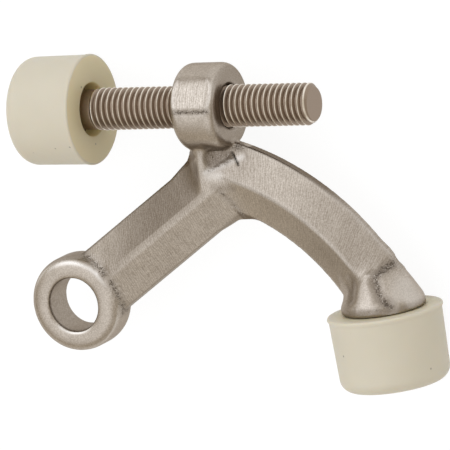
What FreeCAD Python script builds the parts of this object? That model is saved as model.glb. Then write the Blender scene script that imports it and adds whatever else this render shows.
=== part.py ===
import FreeCAD, Part
import os
from math import acos, atan2, cos, degrees, pi, radians, sin, sqrt, tan
from types import SimpleNamespace

import Sketcher
from FreeCAD import Rotation, Vector

# Hinge pin door stop, in millimetres and degrees. The origin is the middle of the hinge-pin bore,
# +Z runs along that bore, and +X runs along the adjusting stud towards its free end.

SIZES = {
    # Hinge-pin eye
    "eye_bore": 7.8,
    "eye_outer": 14.1,
    "eye_height": 6.2,
    "eye_round": 1.6,
    "eye_bore_break": 0.25,
    # Straight arm, from the eye to the boss
    "arm_angle": 33.8,
    "arm_width": 10.35,
    "arm_crest": 0.75,
    "arm_root_inset": 0.3,
    "arm_root_blend": 2.5,
    # Ridged section that both arms share
    "ridge_height": 6.1,
    "land_height": 1.4,
    # Curved arm, from the boss to the foot
    "curve_x": 15.84,
    "curve_y": -16.94,
    "curve_radius": 37.15,
    "curve_width": 9.9,
    "curve_crest": 0.3,
    "crotch_round": 1.5,
    # Foot under the curved arm and the post that holds its bumper
    "foot_inside": 0.74,
    "foot_y": -1.9,
    "foot_tilt": 2.75,
    "foot_arm_inset": 0.8,
    "foot_diameter": 12.3,
    "foot_rim": 2.0,
    "foot_flare": 4.0,
    "foot_top_diameter": 6.4,
    "foot_edge": 0.3,
    "foot_shoulder": 0.8,
    "post_diameter": 7.0,
    # Neck, and the threaded boss above the start of the curved arm's crest
    "neck_x": 23.8,
    "neck_width": 4.7,
    "neck_crest": 0.9,
    "neck_land_height": 2.0,
    "boss_rise": 9.003,
    "boss_diameter": 12.7,
    "boss_start": 21.3,
    "boss_width": 7.1,
    "boss_round": 1.3,
    "boss_countersink": 0.4,
    "boss_flat_angle": 28.0,
    "boss_flat_depth": 0.5,
    # Adjusting stud
    "stud_diameter": 6.2,
    "stud_reach": 36.0,
    "stud_chamfer": 0.65,
    "shank_diameter": 5.8,
    "shank_showing": 0.7,
    "thread_clearance": 0.05,
    # Heads that the rubber bumpers snap over, and the room round them
    "head_diameter": 10.0,
    "head_thickness": 2.4,
    "head_depth": 2.6,
    "head_clearance": 0.05,
    # Rubber bumper on the stud
    "stud_bumper_face": 5.8,
    "stud_bumper_length": 10.8,
    "stud_bumper_diameter": 15.9,
    "stud_bumper_end": 15.7,
    "stud_bumper_lip": 16.1,
    "stud_bumper_mouth": 7.8,
    # Rubber bumper on the foot
    "arm_bumper_length": 11.1,
    "arm_bumper_diameter": 16.4,
    "arm_bumper_end": 16.0,
    "arm_bumper_lip": 16.8,
    # Edges that both bumpers share
    "bumper_lip_thickness": 0.45,
    "bumper_lip_slope": 0.35,
    "bumper_lip_edge": 0.25,
    "bumper_end_round": 2.0,
}

FULL_TURN = 360
ROUND_STEPS = 4
SAME = 1e-6


class Size:
    """A length or angle worked out from the sheet: its value now and the expression that drives it."""

    def __init__(self, value, text):
        self.value = value
        self.text = text

    def __add__(self, other):
        return Size(self.value + other.value, f"({self.text} + {other.text})")

    def __sub__(self, other):
        return Size(self.value - other.value, f"({self.text} - {other.text})")

    def __mul__(self, other):
        return Size(self.value * other.value, f"({self.text} * {other.text})")

    def __neg__(self):
        return Size(-self.value, f"(-{self.text})")

    def times(self, number):
        return Size(self.value * number, f"({self.text} * {number:.6f})")

    def half(self):
        return self.times(1 / 2)

    def root(self):
        return Size(sqrt(self.value), f"sqrt({self.text})")

    def sine(self):
        return Size(sin(radians(self.value)), f"sin({self.text} * 1 deg)")

    def cosine(self):
        return Size(cos(radians(self.value)), f"cos({self.text} * 1 deg)")

    def tangent(self):
        return Size(tan(radians(self.value)), f"tan({self.text} * 1 deg)")


doc = FreeCAD.newDocument("hinge_pin_door_stop")
sheet = doc.addObject("Spreadsheet::Sheet", "sizes")
for row, (alias, number) in enumerate(SIZES.items(), start=1):
    sheet.set(f"A{row}", alias)
    sheet.set(f"B{row}", str(number))
    sheet.setAlias(f"B{row}", alias)
doc.recompute()

s = SimpleNamespace(**{alias: Size(float(sheet.get(alias)), f"sizes.{alias}") for alias in SIZES})
ZERO = Size(0.0, "0")
QUARTER = Size(90.0, "90")

# Sizes that several pieces take from the sheet
arm_half = s.arm_width.half()
curve_outer = s.curve_radius + s.curve_width.half()
curve_inner = s.curve_radius - s.curve_width.half()
arm_root = s.eye_outer.half() - s.arm_root_inset
foot_swing = s.curve_radius - s.foot_inside
foot_drop = s.foot_y - s.curve_y
foot_x = s.curve_x + (foot_swing * foot_swing - foot_drop * foot_drop).root()

# Where the three crests meet: the straight arm's turns up the neck, the curved arm's leaves it
crest_turn = s.neck_x * s.arm_angle.tangent()
branch_run = s.neck_x - s.curve_x
branch_rise = (s.curve_radius * s.curve_radius - branch_run * branch_run).root()
crest_branch = s.curve_y + branch_rise
stud_height = crest_branch + s.boss_rise
curve_sweep = Size(degrees(acos(branch_run.value / s.curve_radius.value)),
                   f"acos({branch_run.text} / {s.curve_radius.text})")
curve_ahead = s.curve_x * s.arm_angle.cosine() + s.curve_y * s.arm_angle.sine()
curve_aside = s.curve_y * s.arm_angle.cosine() - s.curve_x * s.arm_angle.sine()
arm_reach = curve_ahead + (s.curve_radius * s.curve_radius - curve_aside * curve_aside).root()

head_radius = s.head_diameter.half()
socket_radius = head_radius + s.head_clearance
socket_floor = s.head_depth + s.head_thickness + s.head_clearance + s.head_clearance


def bind(thing, setting, size):
    thing.setExpression(setting, size.text)


def turn_sketch(sketch, x, y, angle):
    """Moves a sketch in its plane to x and y and turns it by an angle in degrees."""
    sketch.AttachmentOffset = FreeCAD.Placement(Vector(), Rotation(Vector(0, 0, 1), angle.value))
    bind(sketch, "AttachmentOffset.Base.x", x)
    bind(sketch, "AttachmentOffset.Base.y", y)
    bind(sketch, "AttachmentOffset.Rotation.Angle", angle)


def new_body(label):
    body = doc.addObject("PartDesign::Body", label)
    body.Label = label
    body.AllowCompound = True
    return body


def new_sketch(body, name, plane):
    sketch = body.newObject("Sketcher::SketchObject", name)
    support = [feature for feature in body.Origin.OriginFeatures if feature.Role == plane]
    sketch.AttachmentSupport = [(support[0], "")]
    sketch.MapMode = "FlatFace"
    return sketch


def dimension(sketch, size, kind, *places):
    index = sketch.addConstraint(Sketcher.Constraint(kind, *places, size.value))
    bind(sketch, f"Constraints[{index}]", size)


def place_point(sketch, item, x, y):
    """Holds the first point of an item at x and y from the sketch's origin."""
    if x is ZERO:
        sketch.addConstraint(Sketcher.Constraint("PointOnObject", item, 1, -2))
    else:
        dimension(sketch, x, "DistanceX", -1, 1, item, 1)
    if y is ZERO:
        sketch.addConstraint(Sketcher.Constraint("PointOnObject", item, 1, -1))
    else:
        dimension(sketch, y, "DistanceY", -1, 1, item, 1)


def draw_profile(sketch, corners):
    """Closed outline of straight sides through pairs of sizes."""
    points = [Vector(x.value, y.value, 0) for x, y in corners]
    count = len(corners)
    sides = [Part.LineSegment(points[i], points[(i + 1) % count]) for i in range(count)]
    sketch.addGeometry(sides, False)
    for i, (x, y) in enumerate(corners):
        sketch.addConstraint(Sketcher.Constraint("Coincident", (i - 1) % count, 2, i, 1))
        place_point(sketch, i, x, y)


def rounded(x, y, inward, upward, radius):
    """Corner points of a quarter round in equal steps, from its side to its end, about a square corner."""
    corners = []
    for step in range(ROUND_STEPS + 1):
        angle = pi / 2 * step / ROUND_STEPS
        across = x + radius.times(inward * (1 - cos(angle)))
        along = y + radius.times(upward * (1 - sin(angle)))
        corners.append((across, along))
    return corners


def draw_circle(sketch, diameter, x=ZERO, y=ZERO):
    centre = Vector(x.value, y.value, 0)
    sketch.addGeometry(Part.Circle(centre, Vector(0, 0, 1), diameter.value / 2), False)
    dimension(sketch, diameter, "Diameter", 0)
    if x is ZERO and y is ZERO:
        sketch.addConstraint(Sketcher.Constraint("Coincident", 0, 3, -1, 1))
        return
    dimension(sketch, x, "DistanceX", -1, 1, 0, 3)
    sketch.addConstraint(Sketcher.Constraint("PointOnObject", 0, 3, -1))


def pad(body, name, sketch, length, midplane=False, reverse=False):
    feature = body.newObject("PartDesign::Pad", name)
    feature.Profile = sketch
    feature.Midplane = midplane
    feature.Reversed = reverse
    bind(feature, "Length", length)
    return feature


def turn(body, name, sketch):
    """Solid of revolution about the sketch's own upright axis."""
    feature = body.newObject("PartDesign::Revolution", name)
    feature.Profile = sketch
    feature.ReferenceAxis = (sketch, ["V_Axis"])
    feature.Angle = FULL_TURN
    return feature


def cut_through(body, name, sketch):
    """Takes away all that lies under an outline, to both sides of its plane."""
    before = body.Tip
    feature = body.newObject("PartDesign::Pocket", name)
    feature.Profile = sketch
    feature.Type = "ThroughAll"
    feature.Midplane = True
    doc.recompute()
    if feature.Shape.Volume > before.Shape.Volume - SAME:
        raise RuntimeError(f"{name} cuts nothing")
    return feature


def break_rims(body, name, radius, size):
    """Chamfer on the round edges of one radius."""
    base = body.Tip
    names = []
    for number, edge in enumerate(base.Shape.Edges, start=1):
        if edge.Curve.TypeId == "Part::GeomCircle" and abs(edge.Curve.Radius - radius.value) < SAME:
            names.append(f"Edge{number}")
    feature = body.newObject("PartDesign::Chamfer", name)
    feature.Base = (base, names)
    bind(feature, "Size", size)


def arc_between(centre, start, end):
    """Arc about a centre, counter-clockwise from start to end."""
    first = atan2(start.y - centre.y, start.x - centre.x)
    last = atan2(end.y - centre.y, end.x - centre.x)
    if last < first:
        last += 2 * pi
    return Part.ArcOfCircle(Part.Circle(centre, Vector(0, 0, 1), (start - centre).Length), first, last)


def meet(origin, along, across, offset, radius):
    """Far point where a line, offset sideways from the sketch's origin, meets a circle about origin."""
    sideways = offset - origin.dot(across)
    return along * (origin.dot(along) + sqrt(radius ** 2 - sideways ** 2)) + across * offset


def draw_arms(sketch):
    """Outline of both arms: round the eye, up the straight arm, down the curved one and back."""
    upright = Vector(0, 0, 1)
    angle = radians(s.arm_angle.value)
    along = Vector(cos(angle), sin(angle), 0)
    across = upright.cross(along)
    half = arm_half.value
    root = arm_root.value
    blend = s.arm_root_blend.value
    centre = Vector(s.curve_x.value, s.curve_y.value, 0)
    crotch = s.crotch_round.value
    tilt = radians(s.foot_tilt.value)
    foot_along = Vector(cos(tilt), sin(tilt), 0)
    foot_across = upright.cross(foot_along)
    foot_offset = Vector(foot_x.value, s.foot_y.value, 0).dot(foot_across) + s.foot_arm_inset.value

    blend_reach = sqrt((root + blend) ** 2 - (half + blend) ** 2)
    upper_blend = along * blend_reach + across * (half + blend)
    lower_blend = along * blend_reach - across * (half + blend)
    upper_eye = upper_blend * (root / (root + blend))
    lower_eye = lower_blend * (root / (root + blend))
    upper_start = along * blend_reach + across * half
    lower_end = along * blend_reach - across * half
    top = meet(centre, along, across, half, curve_outer.value)
    crotch_centre = meet(centre, along, across, -half - crotch, curve_inner.value - crotch)
    crotch_line = crotch_centre + across * crotch
    crotch_curve = centre + (crotch_centre - centre) * (curve_inner.value / (curve_inner.value - crotch))
    foot_outer = meet(centre, foot_along, foot_across, foot_offset, curve_outer.value)
    foot_inner = meet(centre, foot_along, foot_across, foot_offset, curve_inner.value)

    eye, upper_root, upper, outer, foot, inner, corner, lower, lower_root = range(9)
    sketch.addGeometry([
        arc_between(Vector(), upper_eye, lower_eye),
        arc_between(upper_blend, upper_eye, upper_start),
        Part.LineSegment(upper_start, top),
        arc_between(centre, foot_outer, top),
        Part.LineSegment(foot_inner, foot_outer),
        arc_between(centre, foot_inner, crotch_curve),
        arc_between(crotch_centre, crotch_curve, crotch_line),
        Part.LineSegment(lower_end, crotch_line),
        arc_between(lower_blend, lower_end, lower_eye),
    ], False)
    tangents = [(eye, 1, upper_root, 1), (upper_root, 2, upper, 1), (inner, 2, corner, 1),
                (corner, 2, lower, 2), (lower, 1, lower_root, 1), (lower_root, 2, eye, 2)]
    for joint in tangents:
        sketch.addConstraint(Sketcher.Constraint("Tangent", *joint))
    meetings = [(eye, 3, -1, 1), (upper, 2, outer, 2), (outer, 1, foot, 2), (foot, 1, inner, 1),
                (outer, 3, inner, 3)]
    for joint in meetings:
        sketch.addConstraint(Sketcher.Constraint("Coincident", *joint))
    sketch.addConstraint(Sketcher.Constraint("Equal", upper_root, lower_root))
    sketch.addConstraint(Sketcher.Constraint("Parallel", upper, lower))
    dimension(sketch, arm_root, "Radius", eye)
    dimension(sketch, s.arm_root_blend, "Radius", upper_root)
    dimension(sketch, curve_outer, "Radius", outer)
    dimension(sketch, curve_inner, "Radius", inner)
    dimension(sketch, s.crotch_round, "Radius", corner)
    dimension(sketch, s.curve_x, "DistanceX", -1, 1, outer, 3)
    dimension(sketch, s.curve_y, "DistanceY", -1, 1, outer, 3)
    dimension(sketch, Size(angle, f"{s.arm_angle.text} * 1 deg"), "Angle", upper)
    dimension(sketch, arm_half, "Distance", -1, 1, upper)
    dimension(sketch, arm_half, "Distance", -1, 1, lower)
    dimension(sketch, Size(tilt, f"{s.foot_tilt.text} * 1 deg"), "Angle", foot)
    centre_mark = sketch.addGeometry(Part.Point(Vector(foot_x.value, s.foot_y.value, 0)), True)
    dimension(sketch, foot_x, "DistanceX", -1, 1, centre_mark, 1)
    dimension(sketch, s.foot_y, "DistanceY", -1, 1, centre_mark, 1)
    dimension(sketch, s.foot_arm_inset, "Distance", centre_mark, 1, foot)


def make_eye(body):
    sketch = new_sketch(body, "eye_profile", "XZ_Plane")
    radius = s.eye_outer.half()
    top = s.eye_height.half()
    lower = rounded(radius, -top, -1, 1, s.eye_round)
    upper = rounded(radius, top, -1, -1, s.eye_round)
    draw_profile(sketch, [(ZERO, -top), *reversed(lower), *upper, (ZERO, top)])
    turn(body, "eye", sketch)


def make_boss(body):
    sketch = new_sketch(body, "boss_profile", "XY_Plane")
    turn_sketch(sketch, s.boss_start + s.boss_width, stud_height, QUARTER)
    radius = s.boss_diameter.half()
    near = rounded(radius, ZERO, -1, 1, s.boss_round)
    far = rounded(radius, s.boss_width, -1, -1, s.boss_round)
    draw_profile(sketch, [(ZERO, ZERO), *reversed(near), *far, (ZERO, s.boss_width)])
    turn(body, "boss", sketch)


def grind_boss(body):
    """Flat ground across the boss, facing forwards and up."""
    sketch = new_sketch(body, "boss_flat_outline", "YZ_Plane")
    turn_sketch(sketch, stud_height, ZERO, -s.boss_flat_angle)
    radius = s.boss_diameter.half()
    flat = radius - s.boss_flat_depth
    beyond = s.boss_diameter
    draw_profile(sketch, [(-radius, flat), (radius, flat), (radius, beyond), (-radius, beyond)])
    cut_through(body, "boss_flat", sketch)


def make_foot(body):
    """Flared round foot, with the post and head that hold the rubber bumper."""
    sketch = new_sketch(body, "foot_profile", "XY_Plane")
    turn_sketch(sketch, foot_x, s.foot_y, s.foot_tilt)
    foot_radius = s.foot_diameter.half()
    flare_top = s.foot_rim + s.foot_flare
    head_top = -s.head_depth
    head_end = head_top - s.head_thickness
    draw_profile(sketch, [
        (ZERO, head_end),
        (head_radius, head_end),
        (head_radius, head_top),
        (s.post_diameter.half(), head_top),
        (s.post_diameter.half(), ZERO),
        (foot_radius - s.foot_edge, ZERO),
        (foot_radius, s.foot_edge),
        (foot_radius, s.foot_rim - s.foot_shoulder),
        (foot_radius - s.foot_shoulder.half(), s.foot_rim),
        (s.foot_top_diameter.half(), flare_top),
        (ZERO, flare_top),
    ])
    turn(body, "foot", sketch)


def draw_ridged_section(sketch, middle, width, crest_width, land_height):
    """Eight-sided section, widest at the side lands and thickest along its front and back crests."""
    side = width.half()
    crest = crest_width.half()
    land = land_height.half()
    top = s.ridge_height.half()
    draw_profile(sketch, [
        (middle - side, -land), (middle - side, land), (middle - crest, top), (middle + crest, top),
        (middle + side, land), (middle + side, -land), (middle + crest, -top), (middle - crest, -top),
    ])


def make_curved_arm(body):
    """Ridged section swept round the curve's centre and cut off inside the foot."""
    section = new_sketch(body, "curve_section", "XZ_Plane")
    bind(section, "AttachmentOffset.Base.x", s.curve_x)
    bind(section, "AttachmentOffset.Base.z", -s.curve_y)
    draw_ridged_section(section, s.curve_radius, s.curve_width, s.curve_crest, s.land_height)
    arm = turn(body, "curved_arm", section)
    bind(arm, "Angle", curve_sweep)
    beyond = new_sketch(body, "beyond_foot", "XY_Plane")
    turn_sketch(beyond, foot_x, s.foot_y, s.foot_tilt)
    draw_profile(beyond, [(-s.curve_radius, -s.curve_radius), (s.curve_radius, -s.curve_radius),
                          (s.curve_radius, s.foot_arm_inset), (-s.curve_radius, s.foot_arm_inset)])
    cut_through(body, "curved_arm_end", beyond)


def make_straight_arm(body):
    section = new_sketch(body, "arm_section", "YZ_Plane")
    section.AttachmentOffset = FreeCAD.Placement(Vector(), Rotation(Vector(0, 1, 0), s.arm_angle.value))
    bind(section, "AttachmentOffset.Rotation.Angle", s.arm_angle)
    draw_ridged_section(section, ZERO, s.arm_width, s.arm_crest, s.land_height)
    pad(body, "straight_arm", section, arm_reach)


def make_fork(body):
    """Side lands of both arms in one outline, and the level patch between the three crests."""
    lands = new_sketch(body, "land_outline", "XY_Plane")
    draw_arms(lands)
    pad(body, "lands", lands, s.land_height, midplane=True)
    patch = new_sketch(body, "crest_patch_outline", "XY_Plane")
    draw_profile(patch, [
        (s.neck_x, crest_turn),
        (arm_reach * s.arm_angle.cosine(), arm_reach * s.arm_angle.sine()),
        (s.neck_x, crest_branch),
    ])
    pad(body, "crest_patch", patch, s.ridge_height, midplane=True)


def make_neck(body):
    """Ridged rib from the straight arm's crest up into the boss."""
    section = new_sketch(body, "neck_section", "XZ_Plane")
    bind(section, "AttachmentOffset.Base.z", -crest_turn)
    draw_ridged_section(section, s.neck_x, s.neck_width, s.neck_crest, s.neck_land_height)
    pad(body, "neck", section, stud_height - crest_turn, reverse=True)


def make_bores(body):
    pin = new_sketch(body, "pin_bore_outline", "XY_Plane")
    draw_circle(pin, s.eye_bore)
    cut_through(body, "pin_bore", pin)
    break_rims(body, "pin_bore_edges", s.eye_bore.half(), s.eye_bore_break)
    hole_diameter = s.stud_diameter + s.thread_clearance + s.thread_clearance
    hole = new_sketch(body, "stud_hole_outline", "YZ_Plane")
    draw_circle(hole, hole_diameter, stud_height)
    cut_through(body, "stud_hole", hole)
    break_rims(body, "stud_hole_edges", hole_diameter.half(), s.boss_countersink)


def make_stop_body():
    body = new_body("stop_body")
    make_curved_arm(body)
    make_straight_arm(body)
    make_fork(body)
    make_neck(body)
    make_eye(body)
    make_boss(body)
    grind_boss(body)
    make_foot(body)
    make_bores(body)
    return body


def lay_along_stud(body):
    """Turns a piece's upright axis along +X and puts its origin at the stud bumper's open face."""
    body.Placement = FreeCAD.Placement(Vector(), Rotation(Vector(0, 0, 1), -QUARTER.value))
    bind(body, "Placement.Base.x", s.stud_bumper_face)
    bind(body, "Placement.Base.y", stud_height)


def make_adjusting_stud():
    """Threaded rod at its outside diameter, plain shank and round head."""
    body = new_body("adjusting_stud")
    sketch = new_sketch(body, "stud_profile", "XY_Plane")
    rod = s.stud_diameter.half()
    shank = s.shank_diameter.half()
    head_top = -(s.head_depth + s.head_clearance)
    head_end = head_top - s.head_thickness
    draw_profile(sketch, [
        (ZERO, head_end),
        (head_radius, head_end),
        (head_radius, head_top),
        (shank, head_top),
        (shank, s.shank_showing),
        (rod, s.shank_showing + rod - shank),
        (rod, s.stud_reach - s.stud_chamfer),
        (rod - s.stud_chamfer, s.stud_reach),
        (ZERO, s.stud_reach),
    ])
    turn(body, "stud", sketch)
    lay_along_stud(body)
    return body


def make_bumper(label, diameter, end_diameter, lip_diameter, length, mouth_diameter):
    """Rubber cap: flared lip at the open face, slight taper, and a socket for the head inside."""
    body = new_body(label)
    sketch = new_sketch(body, f"{label}_profile", "XY_Plane")
    lip = lip_diameter.half()
    mouth = mouth_diameter.half()
    draw_profile(sketch, [
        (mouth, ZERO),
        (lip - s.bumper_lip_edge, ZERO),
        (lip, -s.bumper_lip_edge),
        (lip, -s.bumper_lip_thickness),
        (diameter.half(), -(s.bumper_lip_thickness + s.bumper_lip_slope)),
        *rounded(end_diameter.half(), -length, -1, 1, s.bumper_end_round),
        (ZERO, -length),
        (ZERO, -socket_floor),
        (socket_radius, -socket_floor),
        (socket_radius, -s.head_depth),
        (mouth, -s.head_depth),
    ])
    turn(body, f"{label}_cap", sketch)
    return body


def make_stud_bumper():
    body = make_bumper("stud_bumper", s.stud_bumper_diameter, s.stud_bumper_end, s.stud_bumper_lip,
                       s.stud_bumper_length, s.stud_bumper_mouth)
    lay_along_stud(body)
    return body


def make_arm_bumper():
    post_hole = s.post_diameter + s.head_clearance + s.head_clearance
    body = make_bumper("arm_bumper", s.arm_bumper_diameter, s.arm_bumper_end, s.arm_bumper_lip,
                       s.arm_bumper_length, post_hole)
    body.Placement = FreeCAD.Placement(Vector(), Rotation(Vector(0, 0, 1), s.foot_tilt.value))
    bind(body, "Placement.Rotation.Angle", s.foot_tilt)
    bind(body, "Placement.Base.x", foot_x)
    bind(body, "Placement.Base.y", s.foot_y)
    return body


pieces = [make_stop_body(), make_adjusting_stud(), make_stud_bumper(), make_arm_bumper()]
doc.recompute()

for item in doc.Objects:
    if "Invalid" in item.State or "Error" in item.State:
        raise RuntimeError(f"{item.Label} failed: {item.State}")
for piece in pieces:
    if piece.Shape.isNull() or not piece.Shape.isValid() or len(piece.Shape.Solids) != 1:
        raise RuntimeError(f"{piece.Label} is not one valid solid")

os.makedirs("parts", exist_ok=True)
for piece in pieces:
    piece.Shape.exportStep(f"parts/{piece.Label}.step")
    box = piece.Shape.BoundBox
    print(piece.Label, round(piece.Shape.Volume, 2), len(piece.Shape.Faces),
          [round(v, 2) for v in (box.XMin, box.YMin, box.ZMin, box.XMax, box.YMax, box.ZMax)])
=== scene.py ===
from math import cos, pi, radians, sin

import bmesh
import bpy
import numpy as np
from mathutils import Matrix, Vector, noise


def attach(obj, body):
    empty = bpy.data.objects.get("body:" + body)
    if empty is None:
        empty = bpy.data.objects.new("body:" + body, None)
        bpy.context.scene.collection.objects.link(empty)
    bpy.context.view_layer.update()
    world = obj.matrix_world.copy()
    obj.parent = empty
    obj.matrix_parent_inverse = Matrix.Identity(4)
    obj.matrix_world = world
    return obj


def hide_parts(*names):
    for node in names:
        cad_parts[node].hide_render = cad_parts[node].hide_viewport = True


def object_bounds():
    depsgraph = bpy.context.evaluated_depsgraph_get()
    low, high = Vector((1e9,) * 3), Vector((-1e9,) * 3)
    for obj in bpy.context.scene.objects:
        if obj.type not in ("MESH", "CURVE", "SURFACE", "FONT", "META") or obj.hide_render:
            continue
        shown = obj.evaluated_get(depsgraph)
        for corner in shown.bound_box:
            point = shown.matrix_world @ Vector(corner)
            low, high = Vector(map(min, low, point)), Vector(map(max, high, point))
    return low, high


# Hinge pin door stop: a satin nickel casting, a threaded stud and two cream rubber bumpers.
# Lengths are in millimetres until MM turns them into metres. The hinge pin's bore is at the origin, along Z.
# The stud runs along X above it, and the front is the side towards +Z.

MM = 0.001
EYE_BORE = 3.9
ARM_ANGLE = radians(33.8)
CURVE_X, CURVE_Y, CURVE_RADIUS = 15.84, -16.94, 37.15
STUD_Y, STUD_HOLE = 28.35, 3.15
STUD_MOUTH = 5.8
FOOT_X, FOOT_Y, FOOT_TILT = 49.0, -1.9, radians(2.75)
FOOT_AXIS = (-sin(FOOT_TILT), cos(FOOT_TILT), 0)
FOOT_SIDE, FOOT_LIP = 40.0, 0.3

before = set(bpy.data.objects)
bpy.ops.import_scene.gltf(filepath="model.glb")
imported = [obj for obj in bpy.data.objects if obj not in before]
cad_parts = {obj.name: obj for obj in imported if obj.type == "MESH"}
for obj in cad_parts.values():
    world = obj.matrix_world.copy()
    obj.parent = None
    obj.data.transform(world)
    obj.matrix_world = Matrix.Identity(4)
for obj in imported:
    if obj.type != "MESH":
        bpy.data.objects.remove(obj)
cad_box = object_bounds()


def linear(hex_colour):
    """Linear RGBA from an sRGB hex colour."""
    channels = [int(hex_colour[i:i + 2], 16) / 255 for i in (1, 3, 5)]
    return [c / 12.92 if c <= 0.04045 else ((c + 0.055) / 1.055) ** 2.4 for c in channels] + [1.0]


# Nodes

MATH = "ShaderNodeMath"
VECTOR = "ShaderNodeVectorMath"
SEPARATE = "ShaderNodeSeparateXYZ"
COMBINE = "ShaderNodeCombineXYZ"
RANGE = "ShaderNodeMapRange"
SMOOTH = {"interpolation_type": "SMOOTHSTEP"}
MIX = "ShaderNodeMix"
NOISE = "ShaderNodeTexNoise"
ATTRIBUTE = "ShaderNodeAttribute"


def node(tree, kind, inputs=(), **settings):
    """Adds a node. Inputs follow the order of the sockets in use, or are keyed by a socket's name.

    Each input is a value, a socket, or a node, which gives its first output in use.
    """
    made = tree.nodes.new(kind)
    for name, value in settings.items():
        setattr(made, name, value)
    if isinstance(inputs, dict):
        pairs = [(made.inputs[name], value) for name, value in inputs.items()]
    else:
        pairs = zip([socket for socket in made.inputs if socket.enabled], inputs)
    for socket, value in pairs:
        if isinstance(value, bpy.types.Node):
            value = next(output for output in value.outputs if output.enabled)
        if isinstance(value, bpy.types.NodeSocket):
            tree.links.new(value, socket)
        else:
            socket.default_value = value
    return made


def new_material(name):
    material = bpy.data.materials.new(name)
    material.use_nodes = True
    tree = material.node_tree
    tree.nodes.clear()
    return material, tree


def finish_material(tree, inputs, height):
    """Shader with its bump; the height is in millimetres."""
    bump = node(tree, "ShaderNodeBump", {"Strength": 1.0, "Distance": MM, "Height": height})
    shader = node(tree, "ShaderNodeBsdfPrincipled", {**inputs, "Normal": bump})
    node(tree, "ShaderNodeOutputMaterial", {"Surface": shader})


# Materials

# Real brushing is a few hundredths of a millimetre apart, too fine to show, so it is drawn this coarse.
BRUSH_SPACING = 1 / 3
# The strokes waver over these lengths, by this much of their phase.
BRUSH_DRIFT = (0.5, 2.0, 2.0)
BRUSH_WAVER = 18.0
# How the strokes lie on the straight arm, and how far they lean on the curved one.
ARM_BRUSHING = radians(15)
CURVE_SLANT = -0.5
# Sizes of the casting's unevenness, its grain, and the blotches and grit left as cast.
# The grain of a satin plate is finer still, and is drawn as coarse as it needs to show.
CLOUD = 3.33
GRAIN = 0.2
BLOTCH = 0.625
GRIT = 1 / 6
FINE_DETAIL = 3.0
# What the casting's points say about their finish, and where shade and highlights are painted on.
CASTING_MARKS = ("rough_cast_and_shade", "crack", "on_boss", "on_curve", "brush", "painted_shade", "polish_and_highlight")


def brush_lines(tree, along, place):
    """Brushing strokes, evenly spaced along one distance and wavering a little."""
    _, y, z = node(tree, SEPARATE, (place,)).outputs
    spot = node(tree, VECTOR, (node(tree, COMBINE, (along, y, z)), BRUSH_DRIFT), operation="DIVIDE")
    drift = node(tree, NOISE, (spot, 1.0, FINE_DETAIL))
    waver = node(tree, MATH, (drift, BRUSH_WAVER), operation="MULTIPLY")
    phase = node(tree, MATH, (along, 2 * pi / BRUSH_SPACING, waver), operation="MULTIPLY_ADD")
    return node(tree, RANGE, (node(tree, MATH, (phase,), operation="SINE"), -1.0, 1.0, 0.0, 1.0))


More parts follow.
